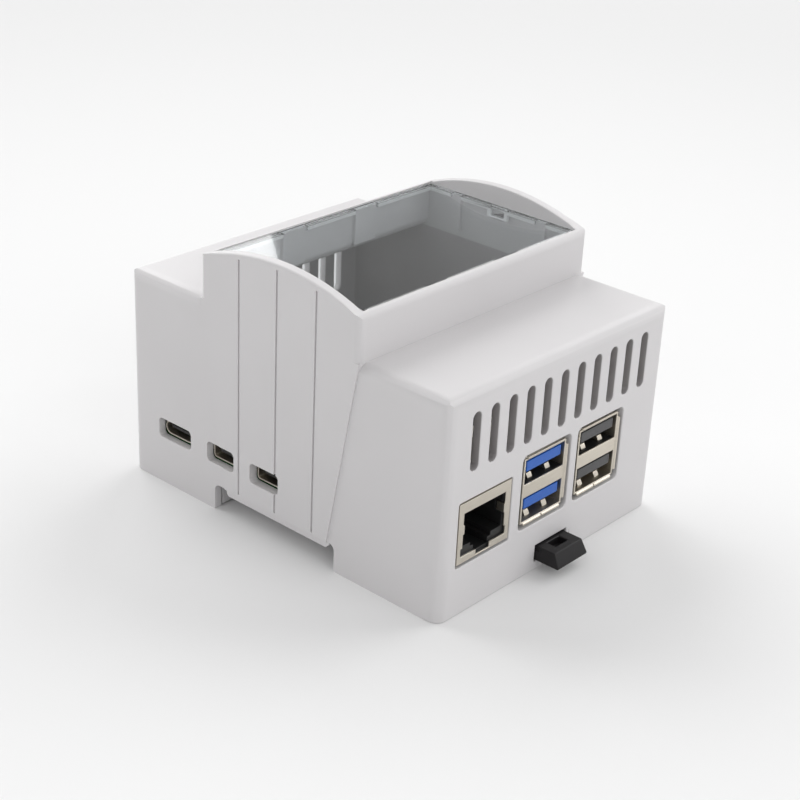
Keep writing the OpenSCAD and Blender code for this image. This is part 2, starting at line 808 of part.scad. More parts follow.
module processor_base() color(chip_black) chip(processor_at, [processor_size, processor_size], processor_t);
module processor_lid() {
    color(tin) chip(processor_at, [processor_size - 2.6, processor_size - 2.6], 1.1, processor_t);
}
module memory_chip() color(chip_black) chip([49.4, 31], [10, 14.4], 1);
module bridge_chip() color(chip_black) chip([61.4, 33], [10, 10], 1.1);
module power_chip() color(chip_black) chip([14, 22], [6, 6], 0.9);
module radio_can() color(tin) chip([13.5, 41.5], [12, 10], 1.6);

module header_block() {
    color(black_plastic) chip(header_at, [20 * pin_pitch, 2 * pin_pitch], 2.5);
}

module header_pins() {
    color(gold) for (i = [0 : 19], j = [0, 1])
        chip([header_at[0] + (i - 9.5) * pin_pitch, header_at[1] + (j - 0.5) * pin_pitch],
             [0.64, 0.64], 6, 2.5);
}

module ribbon_socket(i) {
    color(chip_black) difference() {
        chip(ribbon_at[i], ribbon_size, ribbon_h);
        chip([ribbon_at[i][0] + 0.5, ribbon_at[i][1]], [1.6, ribbon_size[1] - 1.2], 2, 0.6);
    }
}

module ribbon_clamp(i) {
    color([0.5, 0.38, 0.25])
        chip([ribbon_at[i][0] + 0.5, ribbon_at[i][1]], [1.2, ribbon_size[1] - 1.6], 1.4, 0.6);
}

module pin_socket(centre, size, height, pins) {
    color([0.86, 0.85, 0.8]) difference() {
        chip(centre, size, height);
        chip(centre, [size[0] - 1, size[1] - 1], height, 0.8);
    }
    color(gold) for (i = [0 : pins - 1])
        chip([centre[0] + (size[0] > size[1] ? (i - (pins - 1) / 2) * 1 : 0),
              centre[1] + (size[0] > size[1] ? 0 : (i - (pins - 1) / 2) * 1)],
             [0.4, 0.4], height - 1.2, 0.8);
}

module fan_socket() pin_socket([66.6, 43.5], [4.2, 6.5], 4, 4);
module serial_socket() pin_socket([32.5, 3.4], [5, 4], 4, 3);
module clock_socket() pin_socket([19, 3.2], [4.2, 4], 3.6, 2);

button_at = [1.6, 17.5];
module button_case() {
    color(tin) difference() {
        chip(button_at, [3, 4.6], 2);
        chip([button_at[0] - 1.3, button_at[1]], [1.4, 2.4], 1.3, 0.35);
    }
}

module button_cap() {
    color(black_plastic)
        chip([button_at[0] - 1.35, button_at[1]], [0.9, 2.1], 1, 0.5);
}

module status_light() color([0.9, 0.92, 0.85]) chip([1.4, 12.4], [1.2, 1.8], 0.7);

module inductors() {
    color(dark_plastic) for (p = [[20.6, 14.4], [26, 14.4], [20.6, 19.4], [26, 19.4]])
        chip(p, [4, 4], 2.2);
}

module capacitors() {
    color([0.62, 0.5, 0.36]) {
        for (i = [0 : 5]) chip([45 + i * 2.6, 40.4], [1, 1.8], 0.8);
        for (i = [0 : 4]) chip([24 + i * 4, 42.2], [1.8, 1], 0.8);
        for (i = [0 : 3]) chip([57 + i * 2.6, 24.4], [1, 1.8], 0.8);
        for (i = [0 : 4]) chip([9 + i * 2.2, 15.6], [1, 1.8], 0.9);
    }
}

module crystals() {
    color(tin) {
        chip([43.6, 20], [3.2, 2.5], 0.8);
        chip([55, 42.6], [3.2, 2.5], 0.8);
    }
}

hood();
base_plate();
clear_cover();
rail_latch();
board();
for (i = [0 : 3])
    board_screw(holes[i]);
jack_shell();
jack_insert();
jack_contacts();
stack_shell(stack_mid[0]);  // blue_stack_shell
stack_core(stack_mid[0]);  // blue_stack_core
stack_tongues(stack_mid[0], blue_plastic);  // blue_stack_tongues
stack_contacts(stack_mid[0]);  // blue_stack_contacts
stack_shell(stack_mid[1]);  // black_stack_shell
stack_core(stack_mid[1]);  // black_stack_core
stack_tongues(stack_mid[1], dark_plastic);  // black_stack_tongues
stack_contacts(stack_mid[1]);  // black_stack_contacts
socket_shell(power_mid, power_mid_z, power_w, power_h, power_h / 2 - 0.01);  // power_socket_shell
socket_tongue(power_mid, power_mid_z, power_w, power_h, power_h / 2 - 0.01, 6.7);  // power_socket_tongue
for (i = [0, 1]) {
    socket_shell(video_mid[i], video_mid_z, video_w, video_h, 0.7);
    socket_tongue(video_mid[i], video_mid_z, video_w, video_h, 0.7, 4.4);
}
processor_base();
processor_lid();
memory_chip();
bridge_chip();
power_chip();
radio_can();
header_block();
header_pins();
for (i = [0 : 2]) {
    ribbon_socket(i);
    ribbon_clamp(i);
}
fan_socket();
serial_socket();
clock_socket();
button_case();
button_cap();
status_light();
inductors();
capacitors();
crystals();
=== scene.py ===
import math

import bpy
from mathutils import Matrix, Vector


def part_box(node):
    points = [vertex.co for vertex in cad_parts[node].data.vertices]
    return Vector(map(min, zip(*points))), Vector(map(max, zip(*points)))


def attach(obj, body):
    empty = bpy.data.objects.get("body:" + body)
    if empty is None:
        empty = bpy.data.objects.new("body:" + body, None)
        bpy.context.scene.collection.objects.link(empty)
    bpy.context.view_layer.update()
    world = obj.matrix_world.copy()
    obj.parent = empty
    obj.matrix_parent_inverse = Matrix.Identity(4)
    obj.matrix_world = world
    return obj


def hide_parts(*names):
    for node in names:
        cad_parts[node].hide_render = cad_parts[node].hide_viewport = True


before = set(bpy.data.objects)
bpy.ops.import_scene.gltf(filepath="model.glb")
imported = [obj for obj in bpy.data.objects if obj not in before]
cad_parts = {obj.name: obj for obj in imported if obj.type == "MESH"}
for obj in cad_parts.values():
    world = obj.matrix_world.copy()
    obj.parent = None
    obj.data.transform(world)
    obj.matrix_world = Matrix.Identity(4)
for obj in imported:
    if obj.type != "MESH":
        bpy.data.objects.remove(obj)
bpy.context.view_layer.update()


# Base plate: the floor under the board, with two feet, the rail seat, the fixed hooks and the
# board's posts. One injection moulding in light grey ABS that snaps into the hood from below.

plate_edge = 0.0002  # radius on the plate's outer edges


def linear(code):
    """Linear colour of an sRGB hex value."""
    parts = [int(code[i:i + 2], 16) / 255 for i in (1, 3, 5)]
    return [p / 12.92 if p <= 0.04045 else ((p + 0.055) / 1.055) ** 2.4 for p in parts] + [1.0]


def add_node(tree, kind, settings=None, inputs=None):
    """Adds a shader node. settings are its properties, inputs are values or sockets to link."""
    node = tree.nodes.new("ShaderNode" + kind)
    for name, value in (settings or {}).items():
        setattr(node, name, value)
    for name, value in (inputs or {}).items():
        if isinstance(value, bpy.types.NodeSocket):
            tree.links.new(value, node.inputs[name])
        else:
            node.inputs[name].default_value = value
    return node


def new_finish(name):
    """A new material, its node tree and the shader that its surface shows."""
    material = bpy.data.materials.new(name)
    material.use_nodes = True
    tree = material.node_tree
    tree.nodes.clear()
    shader = add_node(tree, "BsdfPrincipled")
    add_node(tree, "OutputMaterial", inputs={"Surface": shader.outputs["BSDF"]})
    return material, tree, shader


def pick(piece):
    """Makes one piece the only selected and active one."""
    bpy.ops.object.select_all(action="DESELECT")
    piece.select_set(True)
    bpy.context.view_layer.objects.active = piece


def moulding(node):
    """A new piece with a frame part's form, its loose triangles joined into whole flat faces."""
    piece = bpy.data.objects.new(node + "_finished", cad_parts[node].data.copy())
    bpy.context.scene.collection.objects.link(piece)
    piece.data.materials.clear()
    pick(piece)
    bpy.ops.mesh.customdata_custom_splitnormals_clear()
    bpy.ops.object.mode_set(mode="EDIT")
    bpy.ops.mesh.select_all(action="SELECT")
    bpy.ops.mesh.remove_doubles(threshold=0.000001)
    bpy.ops.mesh.dissolve_limited(angle_limit=math.radians(0.6))
    bpy.ops.mesh.select_all(action="DESELECT")
    bpy.ops.object.mode_set(mode="OBJECT")
    return piece


def soften(piece, radius, segments=2, share=None):
    """Rounds a piece's sharp edges. share gives the part of the radius that an edge's ends get."""
    pick(piece)
    bpy.ops.object.mode_set(mode="EDIT")
    bpy.ops.mesh.select_mode(type="EDGE")
    bpy.ops.mesh.edges_select_sharp(sharpness=math.radians(35))
    bpy.ops.object.mode_set(mode="OBJECT")
    weights = piece.data.attributes.new("bevel_weight_edge", "FLOAT", "EDGE")
    for edge in piece.data.edges:
        if edge.select:
            ends = [piece.data.vertices[i].co for i in edge.vertices]
            weights.data[edge.index].value = share(ends) if share else 1.0
    rounding = piece.modifiers.new("rounding", "BEVEL")
    rounding.width = radius
    rounding.segments = segments
    rounding.limit_method = "WEIGHT"
    rounding.use_clamp_overlap = False
    rounding.loop_slide = False
    bpy.ops.object.modifier_apply(modifier="rounding")
    bpy.ops.object.shade_smooth_by_angle(angle=math.radians(40))
    evening = piece.modifiers.new("evening", "WEIGHTED_NORMAL")
    evening.keep_sharp = True
    bpy.ops.object.modifier_apply(modifier="evening")
    return piece


def fit(piece, nodes, body, slot, *finishes):
    """Gives a piece its finishes and puts it in place of the frame's parts on their body."""
    for finish in finishes:
        piece.data.materials.append(finish)
    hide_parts(*nodes)
    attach(piece, body)


# Injection-moulded ABS from a fine spark-eroded tool: the grain breaks up reflections into a soft
# satin. The real grain is about 0.05 mm; it is drawn at 0.35 mm, the finest that shows.
grey_abs, tree, shader = new_finish("moulded_grey_abs")
place = add_node(tree, "TexCoord")
grain = add_node(tree, "TexNoise", inputs={
    "Vector": place.outputs["Object"], "Scale": 1 / 0.00035, "Detail": 2.0})
flow = add_node(tree, "TexNoise", inputs={
    "Vector": place.outputs["Object"], "Scale": 1 / 0.018, "Detail": 1.0})
tone = add_node(tree, "Mix", {"data_type": "RGBA"}, {
    0: flow.outputs["Fac"], 6: linear("#D6D4D5"), 7: linear("#D1CFD0")})
satin = add_node(tree, "MapRange", inputs={
    "Value": grain.outputs["Fac"], "To Min": 0.38, "To Max": 0.52})
relief = add_node(tree, "Bump", inputs={
    "Strength": 0.25, "Distance": 0.00002, "Height": grain.outputs["Fac"]})
shader.inputs["IOR"].default_value = 1.54
tree.links.new(tone.outputs[2], shader.inputs["Base Color"])
tree.links.new(satin.outputs["Result"], shader.inputs["Roughness"])
tree.links.new(relief.outputs["Normal"], shader.inputs["Normal"])

base_plate = soften(moulding("base_plate"), plate_edge)
fit(base_plate, ["base_plate"], "enclosure", "light_grey_abs", grey_abs)


# Rail latch: a black bar that slides in a channel of the base plate, with its tip under the rail
# and a finger tab outside the hood. One moulding in black ABS with sprung legs cut into it.

latch_edge = 0.00025

# Matt black ABS: dark, with a broad dull sheen on its edges. Its spark-eroded grain is drawn at
# 0.3 mm, as on the grey parts coarser than the real one.
black_abs, tree, shader = new_finish("matt_black_abs")
place = add_node(tree, "TexCoord")
grain = add_node(tree, "TexNoise", inputs={
    "Vector": place.outputs["Object"], "Scale": 1 / 0.0003, "Detail": 2.0})
tone = add_node(tree, "Mix", {"data_type": "RGBA"}, {
    0: grain.outputs["Fac"], 6: linear("#131113"), 7: linear("#1A181A")})
satin = add_node(tree, "MapRange", inputs={
    "Value": grain.outputs["Fac"], "To Min": 0.42, "To Max": 0.58})
relief = add_node(tree, "Bump", inputs={
    "Strength": 0.3, "Distance": 0.00002, "Height": grain.outputs["Fac"]})
shader.inputs["IOR"].default_value = 1.54
shader.inputs["Specular IOR Level"].default_value = 0.3
tree.links.new(tone.outputs[2], shader.inputs["Base Color"])
tree.links.new(satin.outputs["Result"], shader.inputs["Roughness"])
tree.links.new(relief.outputs["Normal"], shader.inputs["Normal"])

rail_latch = soften(moulding("rail_latch"), latch_edge)
fit(rail_latch, ["rail_latch"], "latch", "black_latch_plastic", black_abs)


# Board: an 85 by 56 mm laminate of glass cloth and resin with copper tracks under a green solder
# mask. It lies on four posts and is held by four screws.

track_pitch = 0.0008

# Green solder mask over copper: glossy, with lighter tracks where the copper lies under it.
laminate, tree, shader = new_finish("green_solder_mask")
place = add_node(tree, "TexCoord")
turn = add_node(tree, "Mapping", inputs={
    "Vector": place.outputs["Object"], "Rotation": (0, 0, math.radians(45))})
tracks = add_node(tree, "TexVoronoi", {"distance": "CHEBYCHEV", "feature": "F1"}, {
    "Vector": turn.outputs["Vector"], "Scale": 1 / (6 * track_pitch), "Randomness": 0.7})
lines = add_node(tree, "Math", {"operation": "PINGPONG"}, {
    0: tracks.outputs["Distance"], 1: 0.07})
edge = add_node(tree, "MapRange", inputs={
    "Value": lines.outputs["Value"], "From Min": 0.03, "From Max": 0.04})
tone = add_node(tree, "Mix", {"data_type": "RGBA"}, {
    0: edge.outputs["Result"], 6: linear("#0E4A26"), 7: linear("#1A6A38")})
relief = add_node(tree, "Bump", inputs={
    "Strength": 0.5, "Distance": 0.00003, "Height": edge.outputs["Result"]})
shader.inputs["Roughness"].default_value = 0.28
tree.links.new(tone.outputs[2], shader.inputs["Base Color"])
tree.links.new(relief.outputs["Normal"], shader.inputs["Normal"])

board = soften(moulding("board"), 0.0001)
fit(board, ["board"], "enclosure", "circuit_laminate", laminate)

# Nickel-plated steel: bright, with faint marks 0.4 mm across from the plating barrel.
nickel, tree, shader = new_finish("nickel_plate")
place = add_node(tree, "TexCoord")
marks = add_node(tree, "TexNoise", inputs={
    "Vector": place.outputs["Object"], "Scale": 1 / 0.0004, "Detail": 3.0})
wear = add_node(tree, "MapRange", inputs={
    "Value": marks.outputs["Fac"], "To Min": 0.22, "To Max": 0.4})
tone = add_node(tree, "Mix", {"data_type": "RGBA"}, {
    0: marks.outputs["Fac"], 6: linear("#C9C6BE"), 7: linear("#B9B5AC")})
shader.inputs["Metallic"].default_value = 1.0
tree.links.new(tone.outputs[2], shader.inputs["Base Color"])
tree.links.new(wear.outputs["Result"], shader.inputs["Roughness"])

for number in (1, 2, 3, 4):
    name = f"board_screw_{number}"
    fit(soften(moulding(name), 0.00015), [name], "enclosure", "nickel_screw", nickel)


# Chips: the processor with its metal lid, memory and controller chips, the radio's can and the
# small coils, capacitors and crystals. Moulded resin and ceramic blocks soldered to the board.

# Moulded epoxy resin: nearly black and dull. Its fine sanded grain is drawn at 0.25 mm to show.
resin, tree, shader = new_finish("moulded_chip_resin")
place = add_node(tree, "TexCoord")
grain = add_node(tree, "TexNoise", inputs={
    "Vector": place.outputs["Object"], "Scale": 1 / 0.00025, "Detail": 2.0})
tone = add_node(tree, "Mix", {"data_type": "RGBA"}, {
    0: grain.outputs["Fac"], 6: linear("#1D1D1F"), 7: linear("#28282A")})
relief = add_node(tree, "Bump", inputs={
    "Strength": 0.4, "Distance": 0.00002, "Height": grain.outputs["Fac"]})
shader.inputs["Roughness"].default_value = 0.6
tree.links.new(tone.outputs[2], shader.inputs["Base Color"])
tree.links.new(relief.outputs["Normal"], shader.inputs["Normal"])

# Fired ceramic: tan with cloudy firing tones.
ceramic, tree, shader = new_finish("fired_ceramic")
place = add_node(tree, "TexCoord")
cloud = add_node(tree, "TexNoise", inputs={
    "Vector": place.outputs["Object"], "Scale": 1 / 0.0008, "Detail": 2.0})
tone = add_node(tree, "Mix", {"data_type": "RGBA"}, {
    0: cloud.outputs["Fac"], 6: linear("#8E7558"), 7: linear("#A58A68")})
shader.inputs["Roughness"].default_value = 0.45
tree.links.new(tone.outputs[2], shader.inputs["Base Color"])

for name in ("processor_base", "memory_chip", "bridge_chip", "power_chip"):
    fit(soften(moulding(name), 0.00008), [name], "enclosure", "chip_resin", resin)
fit(soften(moulding("inductors"), 0.0003), ["inductors"], "enclosure", "ferrite", resin)
fit(soften(moulding("capacitors"), 0.0001), ["capacitors"], "enclosure", "ceramic", ceramic)
fit(soften(moulding("processor_lid"), 0.0002), ["processor_lid"], "enclosure", "plated_lid", nickel)
fit(soften(moulding("radio_can"), 0.0002), ["radio_can"], "enclosure", "nickel_can", nickel)
fit(soften(moulding("crystals"), 0.0002), ["crystals"], "enclosure", "nickel_can", nickel)


# Header and small connectors: a 40-pin header, three ribbon sockets with their clamps, and three
# pin sockets. Gold-plated pins pressed into moulded nylon.

# Glass-filled black nylon: dark and semi-gloss.
black_nylon, tree, shader = new_finish("black_nylon")
place = add_node(tree, "TexCoord")
grain = add_node(tree, "TexNoise", inputs={
    "Vector": place.outputs["Object"], "Scale": 1 / 0.0003, "Detail": 2.0})
tone = add_node(tree, "Mix", {"data_type": "RGBA"}, {
    0: grain.outputs["Fac"], 6: linear("#161616"), 7: linear("#222223")})
satin = add_node(tree, "MapRange", inputs={
    "Value": grain.outputs["Fac"], "To Min": 0.35, "To Max": 0.5})
tree.links.new(tone.outputs[2], shader.inputs["Base Color"])
tree.links.new(satin.outputs["Result"], shader.inputs["Roughness"])

# Thin gold plating over nickel: warm and bright, slightly uneven.
gold, tree, shader = new_finish("gold_plate")
place = add_node(tree, "TexCoord")
cloud = add_node(tree, "TexNoise", inputs={
    "Vector": place.outputs["Object"], "Scale": 1 / 0.0006, "Detail": 1.0})
tone = add_node(tree, "Mix", {"data_type": "RGBA"}, {
    0: cloud.outputs["Fac"], 6: linear("#E0B764"), 7: linear("#D2A654")})
shader.inputs["Metallic"].default_value = 1.0
shader.inputs["Roughness"].default_value = 0.25
tree.links.new(tone.outputs[2], shader.inputs["Base Color"])

# Cream nylon of the pin sockets: slightly waxy, with a soft mottle.
cream_nylon, tree, shader = new_finish("cream_nylon")
place = add_node(tree, "TexCoord")
cloud = add_node(tree, "TexNoise", inputs={
    "Vector": place.outputs["Object"], "Scale": 1 / 0.001, "Detail": 2.0})
tone = add_node(tree, "Mix", {"data_type": "RGBA"}, {
    0: cloud.outputs["Fac"], 6: linear("#E6E0CF"), 7: linear("#DDD6C2")})
shader.inputs["Roughness"].default_value = 0.4
tree.links.new(tone.outputs[2], shader.inputs["Base Color"])

# Brown nylon of the ribbon clamps.
brown_nylon, tree, shader = new_finish("brown_nylon")
place = add_node(tree, "TexCoord")
cloud = add_node(tree, "TexNoise", inputs={
    "Vector": place.outputs["Object"], "Scale": 1 / 0.0008, "Detail": 2.0})
tone = add_node(tree, "Mix", {"data_type": "RGBA"}, {
    0: cloud.outputs["Fac"], 6: linear("#7A5F44"), 7: linear("#6C523A")})
shader.inputs["Roughness"].default_value = 0.42
tree.links.new(tone.outputs[2], shader.inputs["Base Color"])

fit(soften(moulding("header_block"), 0.0001), ["header_block"], "enclosure",
    "black_connector_plastic", black_nylon)
fit(soften(moulding("header_pins"), 0.00006), ["header_pins"], "enclosure", "gold_contact", gold)
for number in (1, 2, 3):
    name = f"ribbon_socket_{number}"
    fit(soften(moulding(name), 0.0001), [name], "enclosure", "black_connector_plastic", black_nylon)
    name = f"ribbon_clamp_{number}"
    fit(soften(moulding(name), 0.0001), [name], f"clamp_{number}", "brown_clamp_plastic", brown_nylon)
for name in ("fan_socket", "serial_socket", "clock_socket"):
    fit(soften(moulding(name), 0.0001), [name], "enclosure", "cream_connector_plastic", cream_nylon)


# Network jack: a folded sheet-metal shell over a black insert, with eight sprung contacts in the
# plug's cavity. It stands on the board and fills its cut-out in the end face.

# Tin-plated steel sheet: warm grey, satin, with faint rolling lines along the sheet.
tinned, tree, shader = new_finish("tinned_steel_sheet")
place = add_node(tree, "TexCoord")
stretch = add_node(tree, "Mapping", inputs={
    "Vector": place.outputs["Object"], "Scale": (1.0, 1.0, 8.0)})
rolling = add_node(tree, "TexNoise", inputs={
    "Vector": stretch.outputs["Vector"], "Scale": 1 / 0.002, "Detail": 3.0})
tone = add_node(tree, "Mix", {"data_type": "RGBA"}, {
    0: rolling.outputs["Fac"], 6: linear("#E2DBCE"), 7: linear("#D6CFC2")})
satin = add_node(tree, "MapRange", inputs={
    "Value": rolling.outputs["Fac"], "To Min": 0.3, "To Max": 0.45})
shader.inputs["Metallic"].default_value = 1.0
tree.links.new(tone.outputs[2], shader.inputs["Base Color"])
tree.links.new(satin.outputs["Result"], shader.inputs["Roughness"])

fit(soften(moulding("jack_shell"), 0.00012), ["jack_shell"], "enclosure", "tinned_sheet", tinned)
fit(soften(moulding("jack_insert"), 0.00012), ["jack_insert"], "enclosure",
    "black_connector_plastic", black_nylon)
fit(soften(moulding("jack_contacts"), 0.00006), ["jack_contacts"], "enclosure", "gold_contact", gold)


# Socket stacks: two sockets above each other in one sheet-metal shell with flared lips. A moulded
# tongue in each socket carries the contacts, blue in the fast stack and dark grey in the other.

# Blue nylon of the fast sockets' tongues.
blue_nylon, tree, shader = new_finish("blue_nylon")
place = add_node(tree, "TexCoord")
cloud = add_node(tree, "TexNoise", inputs={
    "Vector": place.outputs["Object"], "Scale": 1 / 0.0008, "Detail": 2.0})
tone = add_node(tree, "Mix", {"data_type": "RGBA"}, {
    0: cloud.outputs["Fac"], 6: linear("#2563BE"), 7: linear("#1D57AE")})
shader.inputs["Roughness"].default_value = 0.35
tree.links.new(tone.outputs[2], shader.inputs["Base Color"])

# Dark grey nylon of the other stack's tongues.
dark_nylon, tree, shader = new_finish("dark_grey_nylon")
place = add_node(tree, "TexCoord")
cloud = add_node(tree, "TexNoise", inputs={
    "Vector": place.outputs["Object"], "Scale": 1 / 0.0008, "Detail": 2.0})
tone = add_node(tree, "Mix", {"data_type": "RGBA"}, {
    0: cloud.outputs["Fac"], 6: linear("#4A4A4B"), 7: linear("#3F3F40")})
shader.inputs["Roughness"].default_value = 0.35
tree.links.new(tone.outputs[2], shader.inputs["Base Color"])

# Both shells are the same pressing: the blue stack's is the other's, moved along the board's edge.
shell_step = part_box("blue_stack_shell")[0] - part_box("black_stack_shell")[0]
for stack, tongue_slot, tongue_finish in (
        ("blue_stack", "blue_tongue_plastic", blue_nylon),
        ("black_stack", "dark_tongue_plastic", dark_nylon)):
    shell = soften(moulding("black_stack_shell"), 0.0001)
    shell.name = stack + "_shell_finished"
    if stack == "blue_stack":
        bpy.ops.transform.translate(value=shell_step)
        bpy.ops.object.transform_apply(location=True, rotation=True, scale=True)
    fit(shell, [stack + "_shell"], "enclosure", "tinned_sheet", tinned)
    fit(soften(moulding(stack + "_core"), 0.0001), [stack + "_core"], "enclosure",
        "black_connector_plastic", black_nylon)
    fit(soften(moulding(stack + "_tongues"), 0.0002), [stack + "_tongues"], "enclosure",
        tongue_slot, tongue_finish)
    fit(soften(moulding(stack + "_contacts"), 0.00005), [stack + "_contacts"], "enclosure",
        "gold_contact", gold)


# Small sockets: the power socket and two video sockets, each a thin drawn metal tube with a black
# tongue. They stand on the board's edge behind rounded cut-outs in the hood.

for socket in ("power_socket", "video_socket_1", "video_socket_2"):
    fit(soften(moulding(socket + "_shell"), 0.00008), [socket + "_shell"], "enclosure",
        "tinned_sheet", tinned)
    fit(soften(moulding(socket + "_tongue"), 0.00008), [socket + "_tongue"], "enclosure",
        "black_connector_plastic", black_nylon)


# Power button and status light at the board's far end: a metal case with a black cap, and a small
# lens that shows the board's state.

# Clear resin lens: pale and glossy.
lens, tree, shader = new_finish("status_lens_resin")
place = add_node(tree, "TexCoord")
cloud = add_node(tree, "TexNoise", inputs={
    "Vector": place.outputs["Object"], "Scale": 1 / 0.0005, "Detail": 1.0})
tone = add_node(tree, "Mix", {"data_type": "RGBA"}, {
    0: cloud.outputs["Fac"], 6: linear("#E8EBDD"), 7: linear("#DCE2CC")})
shader.inputs["Roughness"].default_value = 0.15
tree.links.new(tone.outputs[2], shader.inputs["Base Color"])

fit(soften(moulding("button_case"), 0.0001), ["button_case"], "enclosure", "tinned_sheet", tinned)
fit(soften(moulding("button_cap"), 0.0001), ["button_cap"], "button",
    "black_connector_plastic", black_nylon)
fit(soften(moulding("status_light"), 0.0001), ["status_light"], "enclosure", "status_lens", lens)


# Hood: the stepped outer shell with its arched nose, vents, grooves and cut-outs. One moulding in
# light grey ABS, its outside from a spark-eroded tool and its inside from a polished core.

hood_edge = 0.00025  # rounding of most edges
arch_edge = 0.0005  # rounding of the arches' outer edges

# The polished core leaves the inside smoother than the outside, so the inner walls mirror the vents.
# Its grey is a little darker than the outside's: painted shade.
polished_abs_painted_shade, tree, shader = new_finish("core_side_grey_abs")
place = add_node(tree, "TexCoord")
flow = add_node(tree, "TexNoise", inputs={
    "Vector": place.outputs["Object"], "Scale": 1 / 0.012, "Detail": 1.0})
tone = add_node(tree, "Mix", {"data_type": "RGBA"}, {
    0: flow.outputs["Fac"], 6: linear("#D0CECF"), 7: linear("#CAC8C9")})
gloss = add_node(tree, "MapRange", inputs={
    "Value": flow.outputs["Fac"], "To Min": 0.18, "To Max": 0.28})
shader.inputs["IOR"].default_value = 1.54
tree.links.new(tone.outputs[2], shader.inputs["Base Color"])
tree.links.new(gloss.outputs["Result"], shader.inputs["Roughness"])

# Painted shade inside the body and in the slots beside the jacks: a grey a little darker than the
# plastic, with a soft random cloud in its tone.
painted_shade_grey, tree, shader = new_finish("grey_abs_painted_shade")
place = add_node(tree, "TexCoord")
shade_mottle = add_node(tree, "TexNoise", inputs={
    "Vector": place.outputs["Object"], "Scale": 1 / 0.006, "Detail": 3.0})
tone = add_node(tree, "Mix", {"data_type": "RGBA"}, {
    0: shade_mottle.outputs["Fac"], 6: linear("#ADA9A9"), 7: linear("#A39F9F")})
gloss = add_node(tree, "MapRange", inputs={
    "Value": shade_mottle.outputs["Fac"], "To Min": 0.25, "To Max": 0.38})
tree.links.new(tone.outputs[2], shader.inputs["Base Color"])
tree.links.new(gloss.outputs["Result"], shader.inputs["Roughness"])

hood = moulding("hood")
hood_low, hood_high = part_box("hood")
body_half_x, body_half_y = 0.045, 0.0352
wall_inside = 0.0332  # inner face of the arched walls
nose_side = 0.0223  # outer face of the nose's two long walls
nose_inside = 0.0207  # and their inner face
shoulder_top = 0.0434
nose_rim = 0.0533
rim_corner = Vector((0.0202, 0.0338, 0.0505))  # where rim, arch and nose wall begin to meet
groove_floor = 0.0351
groove_reach = 0.0112  # past the outermost groove
panel_side = 0.0149  # half of a slanted panel's width at its foot
panel_foot = 0.0015
painted_shade_top = 0.0416
cover_line = 0.0527
arch_half = 0.0208
arch_rise = 0.0039
arch_radius = (arch_half ** 2 + arch_rise ** 2) / (2 * arch_rise)
arch_centre = hood_high.z - arch_radius
arch_fade = 0.003  # the arch's rounding fades out over this length at both ends
near = 0.0001  # how close to a face counts as on it

# The end walls' inner faces are divided where the painted shade ends and behind the clear cover's
# edge.
for level in (painted_shade_top, cover_line):
    pick(hood)
    for face in hood.data.polygons:
        face.select = abs(face.normal.y) > 0.9999 and abs(abs(face.center.y) - wall_inside) < near
    bpy.ops.object.mode_set(mode="EDIT")
    bpy.ops.mesh.bisect(plane_co=(0, 0, level), plane_no=(0, 0, 1), threshold=0.00001)
    bpy.ops.mesh.select_all(action="DESELECT")
    bpy.ops.object.mode_set(mode="OBJECT")


def hood_rounding(ends):
    """Full radius on the arches' outer edges, a small one elsewhere, none where steps meet."""
    wide, deep, high = ([abs(p.x) for p in ends], [abs(p.y) for p in ends], [p.z for p in ends])
    rim_line = nose_inside - near < min(wide) and max(wide) < nose_inside + near / 2
    on_rim = rim_line and min(high) > nose_rim - near
    rim_end = any(x > rim_corner.x and y > rim_corner.y and z > rim_corner.z
                  for x, y, z in zip(wide, deep, high))
    if on_rim or rim_end:
        return 0.0
    off_arch = max(abs(math.hypot(x, z - arch_centre) - arch_radius) for x, z in zip(wide, high))
    outside = min(deep) > hood_high.y - near / 10
    if outside and off_arch < near / 3 and min(high) > nose_rim + near:
        return min(1.0, (arch_half - 2 * near - max(wide)) / arch_fade)
    if min(deep) > groove_floor - near / 2 and max(wide) < groove_reach:
        return 0.1
    on_face = min(deep) > body_half_y - near / 2
    foot = on_face and panel_foot - near < min(high) <= max(high) < panel_foot + near
    beside_panel = panel_side < min(wide) < nose_side + near
    step = on_face and beside_panel and max(high) < shoulder_top + 2 * near
    corner = any(y > wall_inside - 0.0012 and -0.0032 < z - shoulder_top < 0.0012
                 for y, z in zip(deep, high))
    return 0.0 if foot or step or corner else hood_edge / arch_edge


soften(hood, arch_edge, segments=3, share=hood_rounding)
fit(hood, ["hood"], "enclosure", "light_grey_abs", grey_abs, polished_abs_painted_shade, painted_shade_grey)
wall = 0.0019  # a little less than the wall's 2 mm, so that its inner face lies within
vent_low, vent_high, vent_reach = 0.0266, 0.0391, 0.0284  # round the slots beside the jacks
# Faces inside the body and in the slots beside the jacks take the painted shade.
for face in hood.data.polygons:
    x, y, z = (abs(face.center.x), abs(face.center.y), face.center.z)
    inside_ends = y < body_half_y - wall
    inside_body = inside_ends and x < body_half_x - wall and z < painted_shade_top
    inside_nose = inside_ends and x < nose_inside + 0.0002 and z < cover_line + near
    in_wall = body_half_x - wall < face.center.x < body_half_x - near
    in_slot = in_wall and vent_low < z < vent_high and y < vent_reach
    face.material_index = 2 if inside_body or in_slot else 1 if inside_nose else 0


# Clear cover: a flat window that snaps between the arched walls, with a skirt round its edge and a
# tab at the middle of each short side. Moulded in clear polycarbonate, polished on both faces.

cover_edge = 0.0003
window_depth = 0.0016  # down to just under the window
skirt_depth = 0.0027  # down to just over the skirt's foot
tab_half = 0.00305
skirt_x, skirt_y = 0.018, 0.030  # the skirt lies outside these

